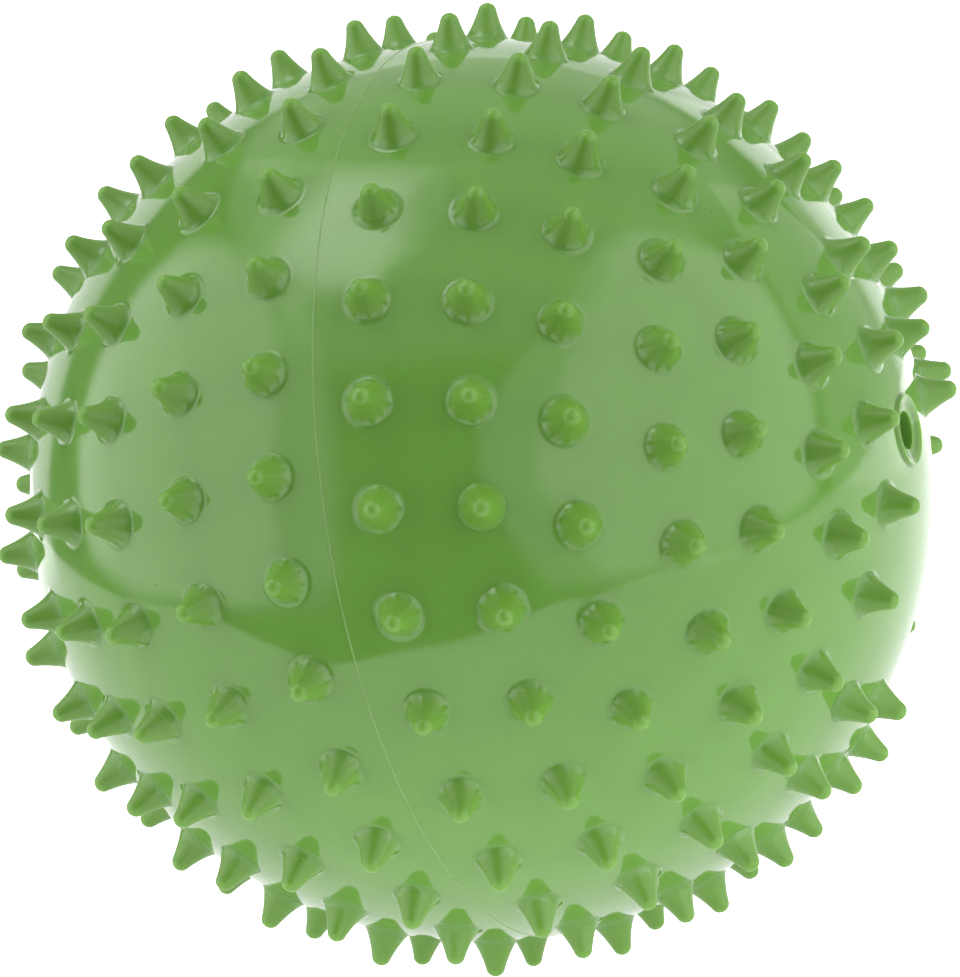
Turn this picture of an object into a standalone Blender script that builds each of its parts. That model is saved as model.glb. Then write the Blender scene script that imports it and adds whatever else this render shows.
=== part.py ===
"""Inflatable massage ball with moulded spikes and a recessed needle valve.

The ball's centre is the origin and the valve points along +X.  The vinyl skin is
moulded in two halves, which meet at a thin seam a little to the valve's side of
the middle.  The spikes stand in rings around the valve's axis.  The valve is a
collar clamped through a hole in the skin, with a rubber core in its neck.
"""
import math

import bmesh
import bpy
from mathutils import Matrix, Vector

# Driving dimensions, in metres and degrees
TIP_RADIUS = 0.1000             # from the centre to the spikes' tips: a 200 mm ball
SPIKE_HEIGHT = 0.0074
BODY_RADIUS = TIP_RADIUS - SPIKE_HEIGHT
SKIN_THICKNESS = 0.0016
INNER_RADIUS = BODY_RADIUS - SKIN_THICKNESS
SEAM_LATITUDE = 2.8             # the seam's place, from the middle towards the valve
PART_GAP = 0.0003               # left between pieces that touch

# Rings of spikes: (latitude towards the valve, number of spikes, first one's longitude).
# Longitude 0 is along -Y and 90 is along +Z.
VALVE_HALF_RINGS = (
    (9.5, 28, 8.0),
    (21.5, 27, 6.5),
    (32.5, 25, 2.0),
    (44.5, 22, 11.5),
    (55.0, 18, 12.5),
    (67.0, 13, 5.5),
    (77.5, 7, 15.5),
)
FAR_HALF_RINGS = (
    (-3.5, 29, 13.5),
    (-16.0, 27, 12.5),
    (-28.5, 25, 11.0),
    (-39.5, 22, 12.5),
    (-51.5, 18, 16.0),
    (-64.0, 12, 9.0),
    (-77.5, 7, 0.0),
)

# The skin is bare around this point, where such a ball carries its printed patch
BARE_LATITUDE = 63.5
BARE_LONGITUDE = -124.0
BARE_HALF_ANGLE = 19.7
BARE_FILL = ((7.0, 6), (14.0, 12))      # (degrees from the point, points) of its fill rings

# One spike above the skin, as (radius, height): its foot, its waist and its shoulder
SPIKE_OUTLINE = (
    (0.0046, 0.0),
    (0.0026, 0.0040),
    (0.0018, 0.0063),
)
SPIKE_SIDES = 6

# Valve
MOUTH_RADIUS = 0.0038
MOUTH_DEPTH = 0.0058            # from the collar's face to the core
NECK_RADIUS = 0.0050
FLANGE_RADIUS = 0.0072
FLANGE_RISE = 0.0009            # the collar's face above the skin's pole
LAND_INNER_RADIUS = 0.0062      # the face is a narrow land around a shallow dish
LAND_OUTER_RADIUS = 0.0067
DISH_RADIUS = 0.0042            # the dish's floor, around the mouth
DISH_DEPTH = 0.0008
INNER_FLANGE_RADIUS = 0.0080
INNER_FLANGE_THICKNESS = 0.0012
NECK_LENGTH = 0.0136            # from the collar's face to the neck's inner end
NECK_LIP_RADIUS = 0.0024
NECK_LIP_THICKNESS = 0.0012
CORE_FUNNEL_RADIUS = 0.0016
CORE_FUNNEL_DEPTH = 0.0020
CORE_TAIL_RADIUS = 0.0018
CORE_TAIL_LENGTH = 0.0030

# Facets
SEAM_SEGMENTS = 60
VALVE_SEGMENTS = 24
INNER_RINGS = 6                 # in each half of the inner surface
INNER_RING_PITCH = 12.5         # degrees between them
POLE_FILL_ANGLE = 5.5           # degrees from the far pole to its ring of fill points

VINYL_GREEN = (0.130, 0.310, 0.050, 1.0)
VALVE_GREEN = (0.120, 0.290, 0.050, 1.0)
RUBBER_GREEN = (0.030, 0.100, 0.015, 1.0)


def direction(latitude, longitude):
    """Unit vector at a latitude towards the valve and a longitude around its axis."""
    lat = math.radians(latitude)
    lon = math.radians(longitude)
    return Vector((math.sin(lat), -math.cos(lat) * math.cos(lon), math.cos(lat) * math.sin(lon)))


def ring_directions(latitude, count, first=0.0):
    return [direction(latitude, first + 360.0 * i / count) for i in range(count)]


def around(axis, angle, count, first=0.0):
    """Unit vectors in a ring at an angle (radians) around an axis."""
    side = axis.orthogonal().normalized()
    tilted = Matrix.Rotation(angle, 3, side) @ axis
    step = 2.0 * math.pi / count
    return [Matrix.Rotation(first + step * i, 3, axis) @ tilted for i in range(count)]


def spike_axes(rings):
    """Directions of all spikes in the rings, except those in the bare patch."""
    bare = direction(BARE_LATITUDE, BARE_LONGITUDE)
    limit = math.radians(BARE_HALF_ANGLE)
    axes = [axis for ring in rings for axis in ring_directions(*ring)]
    return [axis for axis in axes if axis.angle(bare) > limit]


def spike_points(axis):
    """(direction, radius) for one spike, from its foot to its tip."""
    points = [(axis, TIP_RADIUS)]
    for row, (radius, height) in enumerate(SPIKE_OUTLINE):
        turn = row * math.pi / SPIKE_SIDES
        level = BODY_RADIUS + height
        points += [(d, level) for d in around(axis, radius / level, SPIKE_SIDES, turn)]
    return points


def bare_points():
    """(direction, radius) of the points that keep the bare patch round."""
    middle = direction(BARE_LATITUDE, BARE_LONGITUDE)
    directions = [middle]
    for angle, count in BARE_FILL:
        directions += around(middle, math.radians(angle), count)
    return [(d, BODY_RADIUS) for d in directions]


def edge_ring(plane_x, radius, count):
    """(direction, radius) around the circle where a plane across X cuts a sphere."""
    latitude = math.degrees(math.asin(plane_x / radius))
    return [(d, radius) for d in ring_directions(latitude, count)]


def hole_plane(radius):
    """X of the circle where the hole for the neck cuts a sphere."""
    return math.sqrt(radius ** 2 - (NECK_RADIUS + PART_GAP) ** 2)


def skin_surface(bm, edges, fill, facing):
    """Triangulate points on the sphere, open at each edge ring, then push each to its radius.

    edges is a list of rings; the surface ends at each.  facing is 1 for a surface
    that faces away from the centre, and -1 for one that faces it.
    """
    rings = [[bm.verts.new(d) for d, _ in ring] for ring in edges]
    loose = [bm.verts.new(d) for d, _ in fill]
    verts = [v for ring in rings for v in ring] + loose
    radii = [r for ring in edges for _, r in ring] + [r for _, r in fill]
    faces_before = set(bm.faces)
    bmesh.ops.convex_hull(bm, input=verts, use_existing_faces=False)
    made = [f for f in bm.faces if f not in faces_before]
    lids = [f for f in made if any(set(f.verts) <= set(ring) for ring in rings)]
    bmesh.ops.delete(bm, geom=lids, context="FACES_ONLY")
    for ring in rings:
        inside = [e for v in ring for e in v.link_edges if not e.link_faces]
        bmesh.ops.delete(bm, geom=list(set(inside)), context="EDGES")
    outward = [f for f in made if f.is_valid]
    for face in outward:
        face.normal_update()
        if face.normal.dot(face.calc_center_median()) * facing < 0.0:
            face.normal_flip()
    for vert, radius in zip(verts, radii):
        vert.co = vert.co * radius
    return rings


def bridge(bm, outer, inner, direction_x):
    """Close the rim between two rings of the same count, facing along X."""
    count = len(outer)
    for i in range(count):
        j = (i + 1) % count
        face = bm.faces.new((outer[i], outer[j], inner[j], inner[i]))
        face.normal_update()
        if direction_x and face.normal.x * direction_x < 0.0:
            face.normal_flip()


def make_shell(name, rings, side, colour):
    """One half of the skin: side is 1 for the valve's half and -1 for the far half."""
    seam_x = BODY_RADIUS * math.sin(math.radians(SEAM_LATITUDE)) + side * PART_GAP / 2
    outer_edges = [edge_ring(seam_x, BODY_RADIUS, SEAM_SEGMENTS)]
    inner_edges = [edge_ring(seam_x, INNER_RADIUS, SEAM_SEGMENTS)]
    outer_fill = [p for axis in spike_axes(rings) for p in spike_points(axis)]
    inner_fill = []
    for i in range(INNER_RINGS):
        latitude = SEAM_LATITUDE + side * INNER_RING_PITCH * (i + 1)
        count = round(360.0 * math.cos(math.radians(latitude)) / INNER_RING_PITCH)
        inner_fill += [(d, INNER_RADIUS) for d in ring_directions(latitude, count)]
    if side > 0:
        outer_edges.append(edge_ring(hole_plane(BODY_RADIUS), BODY_RADIUS, VALVE_SEGMENTS))
        inner_edges.append(edge_ring(hole_plane(INNER_RADIUS), INNER_RADIUS, VALVE_SEGMENTS))
        outer_fill += bare_points()
    else:
        pole = ring_directions(POLE_FILL_ANGLE - 90.0, 6) + [direction(-90.0, 0.0)]
        outer_fill += [(d, BODY_RADIUS) for d in pole]
        inner_fill += [(d, INNER_RADIUS) for d in pole]
    bm = bmesh.new()
    outer_rings = skin_surface(bm, outer_edges, outer_fill, 1)
    inner_rings = skin_surface(bm, inner_edges, inner_fill, -1)
    bridge(bm, outer_rings[0], inner_rings[0], -side)
    if side > 0:
        bridge(bm, outer_rings[1], inner_rings[1], 0)
    bmesh.ops.recalc_face_normals(bm, faces=bm.faces)
    return finish_mesh(bm, name, colour, 180.0)


def turned(name, outline, segments, colour):
    """A solid turned about X from (x, radius) points; a radius of 0 closes on the axis."""
    bm = bmesh.new()
    rows = []
    for x, radius in outline:
        if radius == 0.0:
            rows.append([bm.verts.new((x, 0.0, 0.0))])
            continue
        step = 2.0 * math.pi / segments
        rows.append([
            bm.verts.new((x, -radius * math.cos(step * i), radius * math.sin(step * i)))
            for i in range(segments)
        ])
    closed_on_axis = len(rows[0]) == 1
    pairs = list(zip(rows, rows[1:]))
    if not closed_on_axis:
        pairs.append((rows[-1], rows[0]))
    for first, second in pairs:
        for i in range(segments):
            j = (i + 1) % segments
            corners = [first[i % len(first)], first[j % len(first)]]
            corners += [second[j % len(second)], second[i % len(second)]]
            bm.faces.new(list(dict.fromkeys(corners)))
    bmesh.ops.recalc_face_normals(bm, faces=bm.faces)
    return finish_mesh(bm, name, colour, 40.0)


def finish_mesh(bm, name, colour, sharp_angle):
    """Turn a bmesh into a smooth-shaded object with its own material."""
    mesh = bpy.data.meshes.new(name)
    bm.to_mesh(mesh)
    bm.free()
    mesh.shade_smooth()
    mesh.set_sharp_from_angle(angle=math.radians(sharp_angle))
    material = bpy.data.materials.new(name)
    material.use_nodes = True
    shader = material.node_tree.nodes["Principled BSDF"]
    shader.inputs["Base Color"].default_value = colour
    shader.inputs["Roughness"].default_value = 0.2
    shader.inputs["Metallic"].default_value = 0.0
    mesh.materials.append(material)
    obj = bpy.data.objects.new(name, mesh)
    bpy.context.scene.collection.objects.link(obj)
    return obj


def sphere_x(radius, distance):
    """X on a sphere of this radius, at a distance from the X axis."""
    return math.sqrt(radius ** 2 - distance ** 2)


def make_valve_collar():
    """Collar, neck and inner flange: one turned piece that grips the skin's hole."""
    face_x = BODY_RADIUS + FLANGE_RISE
    neck_end = face_x - NECK_LENGTH
    edge_round = 0.0005
    above_skin = BODY_RADIUS + PART_GAP
    below_skin = INNER_RADIUS - 2 * PART_GAP
    inner_top = sphere_x(below_skin, INNER_FLANGE_RADIUS)
    neck_foot = sphere_x(below_skin, NECK_RADIUS)
    outline = (
        (face_x - DISH_DEPTH, DISH_RADIUS),
        (face_x, LAND_INNER_RADIUS),
        (face_x, LAND_OUTER_RADIUS),
        (face_x - edge_round, FLANGE_RADIUS),
        (sphere_x(above_skin, FLANGE_RADIUS), FLANGE_RADIUS),
        (sphere_x(above_skin, NECK_RADIUS), NECK_RADIUS),
        (neck_foot, NECK_RADIUS),
        (inner_top, INNER_FLANGE_RADIUS),
        (inner_top - INNER_FLANGE_THICKNESS, INNER_FLANGE_RADIUS),
        (inner_top - INNER_FLANGE_THICKNESS, NECK_RADIUS),
        (neck_end, NECK_RADIUS),
        (neck_end, NECK_LIP_RADIUS),
        (neck_end + NECK_LIP_THICKNESS, NECK_LIP_RADIUS),
        (neck_end + NECK_LIP_THICKNESS, MOUTH_RADIUS),
        (face_x - DISH_DEPTH - edge_round, MOUTH_RADIUS),
    )
    return turned("valve_collar", outline, VALVE_SEGMENTS, VALVE_GREEN)


def make_valve_core():
    """Rubber core in the neck, with a funnel that guides the needle and a tail behind."""
    core_face = BODY_RADIUS + FLANGE_RISE - MOUTH_DEPTH
    lip_x = BODY_RADIUS + FLANGE_RISE - NECK_LENGTH + NECK_LIP_THICKNESS
    core_radius = MOUTH_RADIUS - PART_GAP
    tail_end = lip_x - NECK_LIP_THICKNESS - CORE_TAIL_LENGTH
    outline = (
        (core_face - CORE_FUNNEL_DEPTH, 0.0),
        (core_face, CORE_FUNNEL_RADIUS),
        (core_face, core_radius),
        (lip_x + PART_GAP, core_radius),
        (lip_x + PART_GAP, CORE_TAIL_RADIUS),
        (tail_end, CORE_TAIL_RADIUS * 0.7),
        (tail_end, 0.0),
    )
    return turned("valve_core", outline, VALVE_SEGMENTS, RUBBER_GREEN)


def build():
    for obj in list(bpy.data.objects):
        bpy.data.objects.remove(obj, do_unlink=True)
    make_shell("shell_valve_half", VALVE_HALF_RINGS, 1, VINYL_GREEN)
    make_shell("shell_far_half", FAR_HALF_RINGS, -1, VINYL_GREEN)
    make_valve_collar()
    make_valve_core()


build()
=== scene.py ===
"""Massage ball: finished skin, spikes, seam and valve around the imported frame."""
import math
import random

import bpy
from mathutils import Matrix, Vector, geometry


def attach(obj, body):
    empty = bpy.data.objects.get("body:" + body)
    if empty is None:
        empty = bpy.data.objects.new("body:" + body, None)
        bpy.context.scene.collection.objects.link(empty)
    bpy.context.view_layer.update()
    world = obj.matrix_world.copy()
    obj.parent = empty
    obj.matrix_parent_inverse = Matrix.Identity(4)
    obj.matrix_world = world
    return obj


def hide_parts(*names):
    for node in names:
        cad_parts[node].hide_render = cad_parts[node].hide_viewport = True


MM = 0.001

# Body, as the frame has it
TIP_RADIUS = 100.0 * MM
SPIKE_HEIGHT = 7.4 * MM
BODY_RADIUS = TIP_RADIUS - SPIKE_HEIGHT
SKIN_THICKNESS = 1.6 * MM
SEAM_LATITUDE = 2.8
SEAM_X = BODY_RADIUS * math.sin(math.radians(SEAM_LATITUDE))

# Rings of spikes: (latitude towards the valve, number of spikes, first one's longitude)
VALVE_HALF_RINGS = (
    (9.5, 28, 8.0),
    (21.5, 27, 6.5),
    (32.5, 25, 2.0),
    (44.5, 22, 11.5),
    (55.0, 18, 12.5),
    (67.0, 13, 5.5),
    (77.5, 7, 15.5),
)
FAR_HALF_RINGS = (
    (-3.5, 29, 13.5),
    (-16.0, 27, 12.5),
    (-28.5, 25, 11.0),
    (-39.5, 22, 12.5),
    (-51.5, 18, 16.0),
    (-64.0, 12, 9.0),
    (-77.5, 7, 0.0),
)

# The round patch of skin that has no spikes
BARE_LATITUDE = 63.5
BARE_LONGITUDE = -124.0
BARE_HALF_ANGLE = 19.7

# One spike, as (radius, height): a Bezier curve from its foot to its shoulder, then a round
# cap between two angles, with a small dimple (the pip) in its tip
FOOT = Vector((4.68 * MM, 0.0))
FOOT_PULL = Vector((3.93 * MM, 0.42 * MM))
SHOULDER_PULL = Vector((2.60 * MM, 3.20 * MM))
SHOULDER = Vector((1.79 * MM, 6.18 * MM))
CAP_RADIUS = 1.88 * MM
CAP_HEIGHT = 1.75 * MM
CAP_START_ANGLE = 17.6
CAP_END_ANGLE = 86.0
FLANK_STEPS = 10
CAP_STEPS = 6
PIP_RADIUS = 0.30 * MM
PIP_DEPTH = 0.10 * MM
SPIKE_SEGMENTS = 24
SPIKE_SCALE = (0.955, 0.983)    # range of heights, as shares of the full height
SPIKE_GIRTH = (0.98, 1.03)
SPIKE_LEAN = 0.28 * MM          # the most that a tip is off its axis

# Seam bead on the valve's half, as (offset towards the valve, rise above the skin).  It laps
# over the far half, whose own lip is flat.
SEAM_GAP = 0.005 * MM
SEAM_DROP = 0.01 * MM
FLAT_LIP = ((-SEAM_GAP, 0.0), (-0.4 * MM, 0.0))
BEAD = (
    (-0.13 * MM, 0.005 * MM),
    (-0.10 * MM, 0.07 * MM),
    (-0.04 * MM, 0.11 * MM),
    (0.04 * MM, 0.11 * MM),
    (0.10 * MM, 0.07 * MM),
    (0.13 * MM, 0.0),
    (0.40 * MM, 0.0),
)
SEAM_SEGMENTS = 360

# Mesh points between the spikes: pitches and margins in degrees, and distances from a foot
FILL_PITCH = 2.3
INNER_FILL_PITCH = 6.0
SEAM_MARGIN = 1.2
INNER_SEAM_MARGIN = 3.0
HOLE_MARGIN = 0.8
ROW_SPACING = 0.87
FOOT_COLLAR = 0.9 * MM
FOOT_CLEARANCE = 1.5 * MM

# Valve
MOUTH_RADIUS = 3.8 * MM
MOUTH_DEPTH = 5.6 * MM
CREST_RADIUS = 6.95 * MM
FLANGE_RISE = 0.42 * MM
DISH_DEPTH = 0.90 * MM
NECK_RADIUS = 5.2 * MM
NECK_LENGTH = 13.3 * MM
NECK_LIP_RADIUS = 2.4 * MM
NECK_LIP_THICKNESS = 1.2 * MM
INNER_FLANGE_WIDTH = 2.8 * MM
HOLE_RADIUS = 5.3 * MM
VALVE_SEGMENTS = 96
DISH_SLOPE = ((4.45, 0.09), (5.05, 0.27), (5.70, 0.48), (6.35, 0.71))   # (radius, rise), mm
SKIRT = ((7.25, 0.14), (7.40, 0.05), (7.60, 0.01), (7.60, -0.02), (5.30, -0.02))

# Colours, linear
SKIN_DEEP = (0.112, 0.263, 0.040, 1.0)
SKIN_LIGHT = (0.122, 0.281, 0.045, 1.0)
SPIKE_GREEN = (0.118, 0.269, 0.027, 1.0)
# Seam line: partly the weld flash's own paler tone, partly a painted highlight standing for the
# bead's glint
SEAM_TONE_AND_HIGHLIGHT = (0.205, 0.46, 0.085, 1.0)
SPECK_DARK = (0.03, 0.05, 0.015, 1.0)
# Core: painted shade, much darker than the ball's green to stand for the shadow down in the
# valve's recess
CORE_SHADE_DEEP = (0.034, 0.062, 0.022, 1.0)
CORE_SHADE_PALE = (0.048, 0.084, 0.032, 1.0)

# Roughness
SKIN_ROUGHNESS = (0.06, 0.11)
FOOT_ROUGHNESS = 0.17
CONE_ROUGHNESS = 0.38
SEAM_ROUGHNESS = 0.35
CORE_ROUGHNESS = (0.35, 0.5)

# Camera
CAMERA_AZIMUTH = 22.0
CAMERA_ELEVATION = 8.0
CAMERA_ROLL = 11.2
CAMERA_DISTANCE = 12.0 * BODY_RADIUS
CAMERA_LENS = 199.1
CAMERA_SHIFT = (-0.0016, 0.0012)

# Soft boxes and walls: (azimuth to the camera's right, elevation) of their corners, in degrees
LEFT_BOX = (
    (-44, -16), (-35, -8), (-33, 12), (-34, 30), (-40, 47), (-60, 57), (-93, 59), (-120, 53),
    (-132, 42), (-133, 30), (-130, 17), (-125, 6), (-118, -4), (-101, -9), (-79, -11),
)
LEFT_BOX_CORE = (
    (-56, -13), (-50, -8), (-49, 12), (-50, 30), (-56, 46), (-72, 55), (-93, 58), (-118, 52),
    (-130, 41), (-131, 28), (-128, 15), (-123, 4), (-116, -4), (-100, -9), (-79, -11),
)
RIGHT_BOX = (
    (10, -20), (3, -8), (-2, 8), (0, 22), (13, 35), (40, 46), (66, 53), (86, 51),
    (98, 38), (104, 25), (100, 11), (96, -3), (91, -14), (50, -23),
)
RIGHT_BOX_CORE = (
    (23, -20), (16, -8), (11, 8), (14, 20), (27, 32), (42, 42), (66, 50), (86, 49),
    (96, 37), (102, 24), (98, 11), (94, -3), (90, -13), (50, -22),
)
CEILING = (
    (-60, 48), (-36, 37), (-3, 38), (20, 34), (60, 44), (100, 32), (126, 24), (150, 24), (180, 26),
    (-165, 30), (-150, 40), (-138, 50), (-100, 54),
)
OVERHEAD = (
    (-151, 42), (-146, 60), (-150, 76), (130, 82), (25, 80), (-3, 70), (-38, 58), (-93, 54),
    (-127, 50),
)
LAMP = ((-8, 70), (-26, 57), (-60, 51), (-95, 54), (-145, 66), (150, 82), (0, 80))
RIGHT_WALL = ((95, -12), (99, 12), (106, 30), (122, 36), (134, 22), (137, 0), (139, -12))
BACKDROP = (
    (137, -10), (138, 6), (139, 18), (157, 30), (180, 33), (-165, 32), (-155, 30), (-143, 24),
    (-140, 8), (-137, -8), (180, -10),
)
BACKDROP_RIGHT = (
    (137, -10), (136, 4), (132, 14), (137, 20), (146, 23), (157, 25), (164, 10), (162, -8),
)
BOXES = (       # (name, corners, radiance, softness of the edge, distance in metres)
    ("left_box", LEFT_BOX, 1.1, 0.18, 3.0),
    ("left_box_core", LEFT_BOX_CORE, 0.9, 0.20, 2.9),
    ("right_box", RIGHT_BOX, 1.0, 0.16, 3.0),
    ("right_box_core", RIGHT_BOX_CORE, 1.0, 0.18, 2.9),
    ("ceiling", CEILING, 0.62, 0.24, 3.6),
    ("overhead", OVERHEAD, 0.5, 0.10, 3.3),
    ("lamp", LAMP, 2.6, 0.60, 3.2),
    ("right_wall", RIGHT_WALL, 0.72, 0.06, 3.5),
    ("backdrop", BACKDROP, 1.0, 0.22, 4.0),
    ("backdrop_right", BACKDROP_RIGHT, 0.5, 0.10, 4.1),
)
EDGE_STEPS = 6
FADE_STEPS = 4

# Table: (right, towards the camera) of its outline, in metres
TABLE_Z = -0.1002
TABLE = (
    (-1.03, -0.71), (-0.83, -0.13), (-0.57, 0.16), (-0.35, 0.19), (-0.16, 0.20), (-0.05, 0.25),
    (0.06, 0.30), (0.15, 0.28), (0.24, 0.24), (0.46, 0.05), (0.71, -0.24), (0.95, -0.60),
    (1.00, -1.10), (0.60, -1.55), (0.00, -1.75), (-0.60, -1.55), (-1.00, -1.20),
)
TABLE_RADIANCE = 1.62
TABLE_RINGS = (0.05, 0.10, 0.16, 0.25, 0.4, 0.6, 0.8, 0.985)
FLOOR_REACH = 60.0
ROOM_RADIANCE = 0.18


def direction(latitude, longitude):
    """Unit vector at a latitude towards the valve and a longitude around its axis."""
    lat = math.radians(latitude)
    lon = math.radians(longitude)
    return Vector((math.sin(lat), -math.cos(lat) * math.cos(lon), math.cos(lat) * math.sin(lon)))


def ring_directions(latitude, count, first=0.0):
    """Directions spread evenly around one latitude."""
    return [direction(latitude, first + 360.0 * i / count) for i in range(count)]


def spike_axes(rings):
    """Directions of all spikes in the rings, except those in the bare patch."""
    bare = direction(BARE_LATITUDE, BARE_LONGITUDE)
    limit = math.radians(BARE_HALF_ANGLE)
    axes = [axis for ring in rings for axis in ring_directions(*ring)]
    return [axis for axis in axes if axis.angle(bare) > limit]


def spike_outline():
    """(radius, height) from the foot to just beside the tip's pip."""
    flank = geometry.interpolate_bezier(FOOT, FOOT_PULL, SHOULDER_PULL, SHOULDER, FLANK_STEPS + 1)
    outline = [(point.x, point.y) for point in flank[:-1]]
    for step in range(CAP_STEPS):
        turn = math.radians(CAP_START_ANGLE + (CAP_END_ANGLE - CAP_START_ANGLE) * step / CAP_STEPS)
        rise = CAP_HEIGHT * (math.sin(turn) - 1.0)
        outline.append((CAP_RADIUS * math.cos(turn), SPIKE_HEIGHT + rise))
    return outline


class Skin:
    """Collects one half's points and faces."""

    def __init__(self):
        self.points = []
        self.faces = []

    def add(self, point):
        self.points.append(point)
        return len(self.points) - 1

    def add_ring(self, points):
        return [self.add(p) for p in points]

    def join(self, first, second):
        """Quads between two rings of the same count."""
        count = len(first)
        for i in range(count):
            j = (i + 1) % count
            self.faces.append((first[i], first[j], second[j], second[i]))

    def fan(self, ring, centre):
        """Triangles from a ring to one point."""
        count = len(ring)
        for i in range(count):
            self.faces.append((ring[i], ring[(i + 1) % count], centre))


def circle(centre, side, other, radius):
    """Points around a centre, in the plane of two unit vectors."""
    points = []
    for i in range(SPIKE_SEGMENTS):
        turn = 2.0 * math.pi * i / SPIKE_SEGMENTS
        points.append(centre + (math.cos(turn) * side + math.sin(turn) * other) * radius)
    return points


def add_spike(skin, axis, dice):
    """A spike on the skin; returns its foot ring."""
    side = axis.orthogonal().normalized()
    other = axis.cross(side)
    scale = dice.uniform(*SPIKE_SCALE)
    lean_angle = dice.uniform(0.0, 2.0 * math.pi)
    lean = dice.uniform(0.0, SPIKE_LEAN)
    lean_vector = (math.cos(lean_angle) * side + math.sin(lean_angle) * other) * lean
    girth = dice.uniform(*SPIKE_GIRTH)
    rings = []
    for index, (radius, height) in enumerate(spike_outline()):
        if index > 0:
            radius *= girth
        base = math.sqrt(BODY_RADIUS ** 2 - radius ** 2)
        share = height / SPIKE_HEIGHT
        centre = axis * (base + height * scale) + lean_vector * share ** 1.5
        rings.append(skin.add_ring(circle(centre, side, other, radius)))
    for first, second in zip(rings, rings[1:]):
        skin.join(first, second)
    top = axis * (BODY_RADIUS + SPIKE_HEIGHT * scale) + lean_vector
    pip = skin.add_ring(circle(top, side, other, PIP_RADIUS))
    skin.join(rings[-1], pip)
    skin.fan(pip, skin.add(top - axis * PIP_DEPTH))
    return rings[0]


def add_field(skin, loops, fill, side):
    """Triangulates a sphere's surface between loops of points already in the skin.

    The points are opened flat from the far pole, and a flat Delaunay mesh of them is one on
    the sphere too.  fill is a list of extra points.
    """
    indices = [i for loop in loops for i in loop] + skin.add_ring(fill)
    owner = {i: number for number, loop in enumerate(loops) for i in loop}
    flat = []
    for i in indices:
        d = skin.points[i].normalized()
        flat.append(Vector((d.y, d.z)) / (1.0 + side * d.x))
    _, _, triangles, kept, _, _ = geometry.delaunay_2d_cdt(flat, [], [], 0, 1e-9)
    for triangle in triangles:
        corners = [indices[kept[k][0]] for k in triangle]
        owners = {owner.get(c, -1) for c in corners}
        if len(owners) == 1 and -1 not in owners:
            continue
        skin.faces.append(tuple(corners))


def fill_points(radius, pitch, side, low, high, keep_out):
    """Points in rings on half a sphere, clear of the (axis, angle) pairs in keep_out."""
    points = []
    latitude = low
    row = 0
    while latitude < high:
        count = max(1, round(360.0 * math.cos(math.radians(latitude)) / pitch))
        for d in ring_directions(side * latitude, count, 180.0 * (row % 2) / count):
            if all(d.dot(axis) < limit for axis, limit in keep_out):
                points.append(d * radius)
        latitude += pitch * ROW_SPACING
        row += 1
    return points


def sphere_ring(plane_x, radius, count):
    """Points around the circle where a plane across X cuts a sphere."""
    across = math.sqrt(radius ** 2 - plane_x ** 2)
    step = 2.0 * math.pi / count
    return [
        Vector((plane_x, -across * math.cos(step * i), across * math.sin(step * i)))
        for i in range(count)
    ]


def make_skin(name, rings, side, seed):
    """One half of the skin with its spikes, its lip at the seam and its inner wall."""
    dice = random.Random(seed)
    skin = Skin()
    inner_radius = BODY_RADIUS - SKIN_THICKNESS

    lip = []
    for offset, rise in BEAD if side > 0 else FLAT_LIP:
        lip.append(skin.add_ring(sphere_ring(SEAM_X + offset, BODY_RADIUS + rise, SEAM_SEGMENTS)))
    for first, second in zip(lip, lip[1:]):
        skin.join(first, second)

    axes = spike_axes(rings)
    feet = [add_spike(skin, axis, dice) for axis in axes]
    loops = [lip[-1]] + feet
    keep_out = [(axis, math.cos((FOOT.x + FOOT_CLEARANCE) / BODY_RADIUS)) for axis in axes]
    collars = []
    for axis in axes:
        near = axis.orthogonal().normalized()
        tilted = Matrix.Rotation((FOOT.x + FOOT_COLLAR) / BODY_RADIUS, 3, near) @ axis
        for i in range(SPIKE_SEGMENTS):
            turn = Matrix.Rotation(2.0 * math.pi * i / SPIKE_SEGMENTS, 3, axis)
            collars.append(turn @ tilted * BODY_RADIUS)
    hole = None
    highest = 90.0
    if side > 0:
        hole_x = math.sqrt(BODY_RADIUS ** 2 - HOLE_RADIUS ** 2)
        hole = skin.add_ring(sphere_ring(hole_x, BODY_RADIUS, VALVE_SEGMENTS))
        loops.append(hole)
        highest = 90.0 - math.degrees(HOLE_RADIUS / BODY_RADIUS) - HOLE_MARGIN
    low = side * SEAM_LATITUDE + SEAM_MARGIN
    fill = fill_points(BODY_RADIUS, FILL_PITCH, side, low, highest, keep_out)
    add_field(skin, loops, collars + fill, side)

    edge_x = SEAM_X + side * SEAM_GAP
    rim = skin.add_ring(sphere_ring(edge_x, BODY_RADIUS - SEAM_DROP, SEAM_SEGMENTS))
    skin.join(lip[0], rim)
    inner_seam = skin.add_ring(sphere_ring(edge_x, inner_radius, SEAM_SEGMENTS))
    inner_loops = [inner_seam]
    if hole:
        inner_x = math.sqrt(inner_radius ** 2 - HOLE_RADIUS ** 2)
        inner_hole = skin.add_ring(sphere_ring(inner_x, inner_radius, VALVE_SEGMENTS))
        inner_loops.append(inner_hole)
        skin.join(hole, inner_hole)
    inner_low = side * SEAM_LATITUDE + INNER_SEAM_MARGIN
    inner_fill = fill_points(inner_radius, INNER_FILL_PITCH, side, inner_low, highest, [])
    add_field(skin, inner_loops, inner_fill, side)
    skin.join(rim, inner_seam)
    return finish_piece(name, skin.points, skin.faces)


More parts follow.
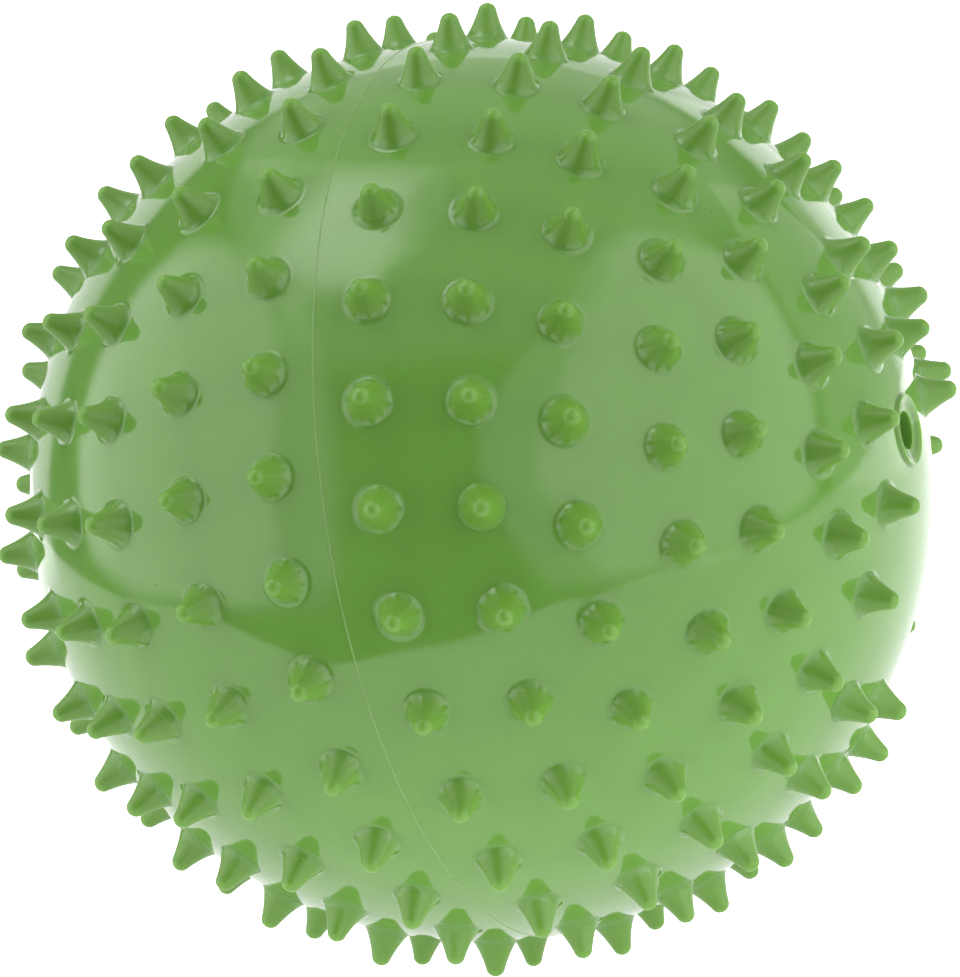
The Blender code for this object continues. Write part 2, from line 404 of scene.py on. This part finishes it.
def finish_piece(name, points, faces):
    """A smooth-shaded object from points and faces, with its normals facing out."""
    mesh = bpy.data.meshes.new(name)
    mesh.from_pydata([tuple(p) for p in points], [], faces)
    mesh.validate()
    obj = bpy.data.objects.new(name, mesh)
    bpy.context.scene.collection.objects.link(obj)
    bpy.context.view_layer.objects.active = obj
    obj.select_set(True)
    bpy.ops.object.mode_set(mode="EDIT")
    bpy.ops.mesh.select_all(action="SELECT")
    bpy.ops.mesh.normals_make_consistent(inside=False)
    bpy.ops.object.mode_set(mode="OBJECT")
    obj.select_set(False)
    mesh.shade_smooth()
    mesh.set_sharp_from_angle(angle=math.radians(55.0))
    return obj


def turned(name, outline):
    """A closed ring turned about X from (x, radius) points; 0 radius closes on the axis."""
    points = []
    rows = []
    for x, radius in outline:
        if radius == 0.0:
            points.append((x, 0.0, 0.0))
            rows.append([len(points) - 1])
            continue
        row = []
        for i in range(VALVE_SEGMENTS):
            turn = 2.0 * math.pi * i / VALVE_SEGMENTS
            points.append((x, -radius * math.cos(turn), radius * math.sin(turn)))
            row.append(len(points) - 1)
        rows.append(row)
    pairs = list(zip(rows, rows[1:]))
    if len(rows[0]) > 1:
        pairs.append((rows[-1], rows[0]))
    faces = []
    for first, second in pairs:
        for i in range(VALVE_SEGMENTS):
            j = (i + 1) % VALVE_SEGMENTS
            corners = [first[i % len(first)], first[j % len(first)]]
            corners += [second[j % len(second)], second[i % len(second)]]
            faces.append(tuple(dict.fromkeys(corners)))
    return finish_piece(name, points, faces)


def arc(centre_x, centre_r, radius, start, end, steps):
    """(x, radius) points along an arc; 0 degrees points along +X and 90 away from the axis."""
    out = []
    for i in range(steps + 1):
        turn = math.radians(start + (end - start) * i / steps)
        out.append((centre_x + radius * math.cos(turn), centre_r + radius * math.sin(turn)))
    return out


def skin_x(distance, rise=0.0):
    """X of the skin at a distance from the X axis, or of a surface this far above it."""
    return math.sqrt((BODY_RADIUS + rise) ** 2 - distance ** 2)


def make_collar():
    """The valve's dished ring, which slopes to the skin, its neck and its inner flange."""
    face = BODY_RADIUS + FLANGE_RISE
    floor = face - DISH_DEPTH
    crest = 0.16 * MM
    mouth = 0.22 * MM
    under = BODY_RADIUS - SKIN_THICKNESS - 0.6 * MM
    neck_end = face - NECK_LENGTH
    inner_flange = NECK_RADIUS + INNER_FLANGE_WIDTH
    outline = arc(floor - mouth, MOUTH_RADIUS + mouth, mouth, -90.0, -12.0, 4)
    outline += [(floor + rise * MM, radius * MM) for radius, rise in DISH_SLOPE]
    outline += arc(face - crest, CREST_RADIUS, crest, -22.0, 62.0, 5)
    outline += [(skin_x(radius * MM, rise * MM), radius * MM) for radius, rise in SKIRT]
    outline += [
        (skin_x(NECK_RADIUS, -0.1 * MM), NECK_RADIUS),
        (under - 0.2 * MM, NECK_RADIUS),
        (under - 0.5 * MM, inner_flange),
        (under - 1.6 * MM, inner_flange),
        (under - 1.6 * MM, NECK_RADIUS),
        (neck_end, NECK_RADIUS),
        (neck_end, NECK_LIP_RADIUS),
        (neck_end + NECK_LIP_THICKNESS, NECK_LIP_RADIUS),
        (neck_end + NECK_LIP_THICKNESS, MOUTH_RADIUS),
    ]
    return turned("valve_collar_ring", outline)


def make_core():
    """The rubber core that closes the neck, with a funnel for the needle and a thin tail."""
    face = BODY_RADIUS + FLANGE_RISE - MOUTH_DEPTH
    radius = MOUTH_RADIUS - 0.1 * MM
    rounding = 0.4 * MM
    back = BODY_RADIUS + FLANGE_RISE - NECK_LENGTH + 1.5 * MM
    tail_end = back - 4.2 * MM
    outline = [(face - 2.0 * MM, 0.0), (face - 1.8 * MM, 0.35 * MM)]
    outline += [(face - 0.2 * MM, 1.5 * MM), (face, 1.8 * MM)]
    outline += arc(face - rounding, radius - rounding, rounding, 0.0, 90.0, 4)
    outline += [(back, radius), (back, 1.8 * MM), (tail_end, 1.2 * MM), (tail_end, 0.0)]
    return turned("valve_rubber_core", outline)


class Nodes:
    """Short calls for building a material's node tree."""

    def __init__(self, name):
        self.material = bpy.data.materials.new(name)
        self.material.use_nodes = True
        self.tree = self.material.node_tree
        self.shader = self.tree.nodes["Principled BSDF"]
        place = self.tree.nodes.new("ShaderNodeTexCoord")
        self.place = place.outputs["Object"]

    def noise(self, scale, detail):
        node = self.tree.nodes.new("ShaderNodeTexNoise")
        node.inputs["Scale"].default_value = scale
        node.inputs["Detail"].default_value = detail
        node.inputs["Roughness"].default_value = 0.5
        self.tree.links.new(self.place, node.inputs["Vector"])
        return node.outputs["Fac"]

    def cloud(self, scale, detail, low, high):
        """Noise spread over a range, with most of it inside the range."""
        return self.ranged(self.noise(scale, detail), 0.3, 0.7, low, high)

    def spots(self, scale):
        """Distance to the nearest of many scattered points."""
        node = self.tree.nodes.new("ShaderNodeTexVoronoi")
        node.inputs["Scale"].default_value = scale
        self.tree.links.new(self.place, node.inputs["Vector"])
        return node.outputs["Distance"]

    def distance(self):
        """Distance from the ball's centre."""
        node = self.tree.nodes.new("ShaderNodeVectorMath")
        node.operation = "LENGTH"
        self.tree.links.new(self.place, node.inputs[0])
        return node.outputs["Value"]

    def offset_from(self, plane_x):
        """Distance from a plane across X."""
        split = self.tree.nodes.new("ShaderNodeSeparateXYZ")
        self.tree.links.new(self.place, split.inputs[0])
        away = self.math("SUBTRACT", split.outputs["X"], plane_x)
        return self.math("ABSOLUTE", away, 0.0)

    def highest(self, first, second):
        return self.math("MAXIMUM", first, second)

    def math(self, operation, first, second):
        """An arithmetic operation on two numbers or sockets."""
        node = self.tree.nodes.new("ShaderNodeMath")
        node.operation = operation
        for socket, value in zip(node.inputs, (first, second)):
            if isinstance(value, float):
                socket.default_value = value
            else:
                self.tree.links.new(value, socket)
        return node.outputs[0]

    def ranged(self, value, low, high, to_low, to_high):
        """Maps low to to_low and high to to_high, and holds the ends."""
        node = self.tree.nodes.new("ShaderNodeMapRange")
        ends = {"From Min": low, "From Max": high, "To Min": to_low, "To Max": to_high}
        for name, number in ends.items():
            node.inputs[name].default_value = number
        self.tree.links.new(value, node.inputs["Value"])
        return node.outputs["Result"]

    def mixed(self, share, first, second):
        """The first colour where share is 0 and the second where it is 1."""
        node = self.tree.nodes.new("ShaderNodeMix")
        node.data_type = "RGBA"
        self.tree.links.new(share, node.inputs["Factor"])
        for socket, colour in ((node.inputs[6], first), (node.inputs[7], second)):
            if isinstance(colour, tuple):
                socket.default_value = colour
            else:
                self.tree.links.new(colour, socket)
        return node.outputs[2]

    def bumped(self, value, distance, under=None):
        node = self.tree.nodes.new("ShaderNodeBump")
        node.inputs["Distance"].default_value = distance
        node.inputs["Strength"].default_value = 1.0
        self.tree.links.new(value, node.inputs["Height"])
        if under is not None:
            self.tree.links.new(under, node.inputs["Normal"])
        return node.outputs["Normal"]

    def link(self, value, socket):
        self.tree.links.new(value, self.shader.inputs[socket])

    def set(self, **values):
        for name, number in values.items():
            self.shader.inputs[name.replace("_", " ")].default_value = number


def vinyl(name):
    """Soft glossy vinyl that lets light into it; the spikes and the seam are less glossy, and the
    seam line is painted paler: partly the weld flash's own tone, partly a painted highlight.
    """
    nodes = Nodes(name)
    cloud = nodes.cloud(22.0, 3.0, 0.0, 1.0)
    colour = nodes.mixed(cloud, SKIN_DEEP, SKIN_LIGHT)
    height = nodes.distance()
    on_cone = nodes.ranged(height, BODY_RADIUS + 0.7 * MM, BODY_RADIUS + 1.5 * MM, 0.0, 1.0)
    colour = nodes.mixed(on_cone, colour, SPIKE_GREEN)
    speck = nodes.ranged(nodes.spots(70.0), 0.010, 0.018, 0.8, 0.0)
    colour = nodes.mixed(speck, colour, SPECK_DARK)
    # The seam line is painted paler: partly its own tone, partly a painted highlight for the
    # bead's glint
    seam = nodes.ranged(nodes.offset_from(SEAM_X), 0.16 * MM, 0.22 * MM, 1.0, 0.0)
    nodes.link(nodes.mixed(seam, colour, SEAM_TONE_AND_HIGHLIGHT), "Base Color")
    gloss = nodes.cloud(60.0, 3.0, *SKIN_ROUGHNESS)
    foot_start = BODY_RADIUS + 0.02 * MM
    foot = nodes.ranged(height, foot_start, BODY_RADIUS + 0.25 * MM, 0.0, FOOT_ROUGHNESS)
    gloss = nodes.highest(gloss, foot)
    gloss = nodes.highest(gloss, nodes.ranged(on_cone, 0.0, 1.0, 0.0, CONE_ROUGHNESS))
    gloss = nodes.highest(gloss, nodes.ranged(seam, 0.0, 1.0, 0.0, SEAM_ROUGHNESS))
    nodes.link(gloss, "Roughness")
    flow = nodes.bumped(nodes.noise(45.0, 1.0), 0.12 * MM)
    nodes.link(nodes.bumped(nodes.noise(700.0, 2.0), 0.004 * MM, flow), "Normal")
    nodes.set(IOR=1.5, Subsurface_Weight=0.6, Subsurface_Scale=3.5 * MM)
    nodes.shader.inputs["Subsurface Radius"].default_value = (0.8, 1.0, 0.25)
    return nodes.material


def rubber(name):
    """Dull soft rubber with a fine grain, darkened with painted shade for the core down in the
    valve's recess.
    """
    nodes = Nodes(name)
    cloud = nodes.cloud(300.0, 3.0, 0.0, 1.0)
    # Painted shade: the core's dark greens stand for the shadow in the valve's recess
    nodes.link(nodes.mixed(cloud, CORE_SHADE_DEEP, CORE_SHADE_PALE), "Base Color")
    nodes.link(nodes.cloud(900.0, 2.0, *CORE_ROUGHNESS), "Roughness")
    nodes.link(nodes.bumped(nodes.noise(1500.0, 2.0), 0.02 * MM), "Normal")
    nodes.set(IOR=1.5)
    return nodes.material


def paint(obj, material):
    obj.data.materials.clear()
    obj.data.materials.append(material)


def camera_axes():
    """Right, up and back of the camera as it stands, in the row frame."""
    azimuth = math.radians(CAMERA_AZIMUTH)
    elevation = math.radians(CAMERA_ELEVATION)
    roll = math.radians(CAMERA_ROLL)
    flat = math.cos(elevation)
    back = Vector((math.sin(azimuth) * flat, -math.cos(azimuth) * flat, math.sin(elevation)))
    level = Vector((math.cos(azimuth), math.sin(azimuth), 0.0))
    rise = back.cross(level)
    right = level * math.cos(roll) - rise * math.sin(roll)
    up = level * math.sin(roll) + rise * math.cos(roll)
    return right, up, back


def make_camera():
    right, up, back = camera_axes()
    data = bpy.data.cameras.new("camera")
    data.lens = CAMERA_LENS
    data.sensor_width = 36.0
    data.shift_x, data.shift_y = CAMERA_SHIFT
    data.clip_start = 0.01
    data.clip_end = 100.0
    obj = bpy.data.objects.new("camera", data)
    turn = Matrix((right, up, back)).transposed()
    obj.matrix_world = Matrix.Translation(back * CAMERA_DISTANCE) @ turn.to_4x4()
    bpy.context.scene.collection.objects.link(obj)
    bpy.context.scene.camera = obj


def glowing(name, radiance):
    """Light of this radiance times the mesh's glow, added to whatever is behind it."""
    material = bpy.data.materials.new(name)
    material.use_nodes = True
    tree = material.node_tree
    tree.nodes.clear()
    out = tree.nodes.new("ShaderNodeOutputMaterial")
    light = tree.nodes.new("ShaderNodeEmission")
    clear = tree.nodes.new("ShaderNodeBsdfTransparent")
    both = tree.nodes.new("ShaderNodeAddShader")
    glow = tree.nodes.new("ShaderNodeAttribute")
    glow.attribute_name = "glow"
    scale = tree.nodes.new("ShaderNodeMath")
    scale.operation = "MULTIPLY"
    scale.inputs[1].default_value = radiance
    tree.links.new(glow.outputs["Fac"], scale.inputs[0])
    tree.links.new(scale.outputs[0], light.inputs["Strength"])
    tree.links.new(light.outputs["Emission"], both.inputs[0])
    tree.links.new(clear.outputs["BSDF"], both.inputs[1])
    tree.links.new(both.outputs["Shader"], out.inputs["Surface"])
    return material


def aim(azimuth, elevation, distance):
    """A point in a direction counted from the camera's: azimuth to its right, then up."""
    turn = math.radians(CAMERA_AZIMUTH + azimuth)
    rise = math.radians(elevation)
    flat = math.cos(rise) * distance
    return Vector((math.sin(turn) * flat, -math.cos(turn) * flat, math.sin(rise) * distance))


def on_table(right, front):
    """A point on the table, from the one under the ball: to the camera's right and towards it."""
    turn = math.radians(CAMERA_AZIMUTH)
    return Vector((
        right * math.cos(turn) + front * math.sin(turn),
        right * math.sin(turn) - front * math.cos(turn),
        TABLE_Z,
    ))


def add_glowing(name, points, faces, glows, radiance):
    """An object that gives off light, with a glow for each of its points."""
    mesh = bpy.data.meshes.new(name)
    mesh.from_pydata([tuple(p) for p in points], [], faces)
    glow = mesh.attributes.new("glow", "FLOAT", "POINT")
    for item, value in zip(glow.data, glows):
        item.value = value
    mesh.materials.append(glowing(name, radiance))
    obj = bpy.data.objects.new(name, mesh)
    bpy.context.scene.collection.objects.link(obj)
    return obj


def make_card(name, centre, edge, rings, radiance):
    """A glowing sheet from its centre to its edge points, seen only in reflections.

    rings are (share of the way to the edge, glow), and between them the glow is blended.
    glow may be a function of the point.
    """
    points = [centre]
    for share, _ in rings:
        points += [centre.lerp(p, share) for p in edge]
    count = len(edge)
    faces = [(0, 1 + i, 1 + (i + 1) % count) for i in range(count)]
    for ring in range(1, len(rings)):
        inner = 1 + count * (ring - 1)
        outer = inner + count
        for i in range(count):
            j = (i + 1) % count
            faces.append((inner + i, inner + j, outer + j, outer + i))
    given = [rings[0][1]] + [g for _, g in rings for _ in edge]
    glows = [g(point) if callable(g) else g for g, point in zip(given, points)]
    obj = add_glowing(name, points, faces, glows, radiance)
    obj.visible_camera = False
    obj.visible_shadow = False


def round_edge(corners, distance):
    """Points along the great circles between (azimuth, elevation) corners."""
    places = [aim(azimuth, elevation, 1.0) for azimuth, elevation in corners]
    edge = []
    for first, second in zip(places, places[1:] + places[:1]):
        edge += [first.slerp(second, i / EDGE_STEPS) * distance for i in range(EDGE_STEPS)]
    return edge


def make_box(name, corners, radiance, soft, distance):
    """A soft box or wall seen from the ball between (azimuth, elevation) corners."""
    edge = round_edge(corners, distance)
    centre = sum(edge, Vector()) / len(edge)
    full = 1.0 - soft
    rings = [(full / 2, 1.0)]
    for step in range(FADE_STEPS + 1):
        share = full + soft * step / FADE_STEPS
        rings.append((share, 0.5 + 0.5 * math.cos(math.pi * step / FADE_STEPS)))
    make_card(name, centre, edge, rings, radiance)


def ramp(value, start, width):
    """0 up to start, then rising to 1 over the width."""
    return min(max((value - start) / width, 0.0), 1.0)


def table_glow(point):
    """The table is dimmer behind and under the ball, where the ball shades it."""
    turn = math.radians(CAMERA_AZIMUTH)
    front = point.x * math.sin(turn) - point.y * math.cos(turn)
    right = point.x * math.cos(turn) + point.y * math.sin(turn)
    lit_front = ramp(front, 0.01, 0.11)
    lit_right = ramp(right, 0.06, 0.20)
    lit_left = ramp(-right, 0.06, 0.10)
    return 0.62 + max(0.38 * lit_front, 0.42 * lit_right, 0.10 * lit_left)


def make_table():
    """The white table as the ball reflects it."""
    edge = [on_table(right, front) for right, front in TABLE]
    rings = [(share, table_glow) for share in TABLE_RINGS]
    make_card("table", on_table(0.0, 0.0), edge, rings + [(1.0, 0.0)], TABLE_RADIANCE)


def make_floor():
    """The plain white floor that the camera sees."""
    reach = FLOOR_REACH
    corners = [(-reach, -reach, 0), (reach, -reach, 0), (reach, reach, 0), (-reach, reach, 0)]
    floor = add_glowing("floor", corners, [(0, 1, 2, 3)], [1.0] * 4, 1.0)
    floor.location.z = TABLE_Z
    floor.visible_diffuse = False
    floor.visible_glossy = False
    floor.visible_transmission = False
    floor.visible_shadow = False


def make_world():
    """A dim even room for the ball, and plain white for the camera."""
    world = bpy.data.worlds.new("studio")
    world.use_nodes = True
    tree = world.node_tree
    tree.nodes.clear()
    out = tree.nodes.new("ShaderNodeOutputWorld")
    mix = tree.nodes.new("ShaderNodeMixShader")
    rays = tree.nodes.new("ShaderNodeLightPath")
    room = tree.nodes.new("ShaderNodeBackground")
    room.inputs["Strength"].default_value = ROOM_RADIANCE
    white = tree.nodes.new("ShaderNodeBackground")
    white.inputs["Color"].default_value = (1.0, 1.0, 1.0, 1.0)
    white.inputs["Strength"].default_value = 1.0
    tree.links.new(rays.outputs["Is Camera Ray"], mix.inputs["Fac"])
    tree.links.new(room.outputs["Background"], mix.inputs[1])
    tree.links.new(white.outputs["Background"], mix.inputs[2])
    tree.links.new(mix.outputs["Shader"], out.inputs["Surface"])
    bpy.context.scene.world = world


def make_studio():
    """Soft boxes, an overhead light, pale walls, a white table and a white backdrop."""
    for box in BOXES:
        make_box(*box)
    make_table()
    make_floor()
    make_world()


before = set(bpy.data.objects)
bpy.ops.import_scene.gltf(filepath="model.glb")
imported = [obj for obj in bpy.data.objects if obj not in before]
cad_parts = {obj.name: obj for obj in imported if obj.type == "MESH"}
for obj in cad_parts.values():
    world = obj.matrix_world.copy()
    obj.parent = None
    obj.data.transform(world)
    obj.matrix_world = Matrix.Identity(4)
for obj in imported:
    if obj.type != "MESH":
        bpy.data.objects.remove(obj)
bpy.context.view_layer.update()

make_camera()
make_studio()

green = vinyl("green_vinyl")
core_green = rubber("core_rubber")

valve_half = make_skin("skin_valve_half", VALVE_HALF_RINGS, 1, 11)
far_half = make_skin("skin_far_half", FAR_HALF_RINGS, -1, 23)
collar = make_collar()
core = make_core()

for piece, node, slot, material in (
    (valve_half, "shell_valve_half", "skin", green),
    (far_half, "shell_far_half", "skin", green),
    (collar, "valve_collar", "collar", green),
    (core, "valve_core", "core", core_green),
):
    paint(piece, material)
    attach(piece, "root")
    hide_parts(node)

bpy.context.scene.view_settings.view_transform = "Standard"
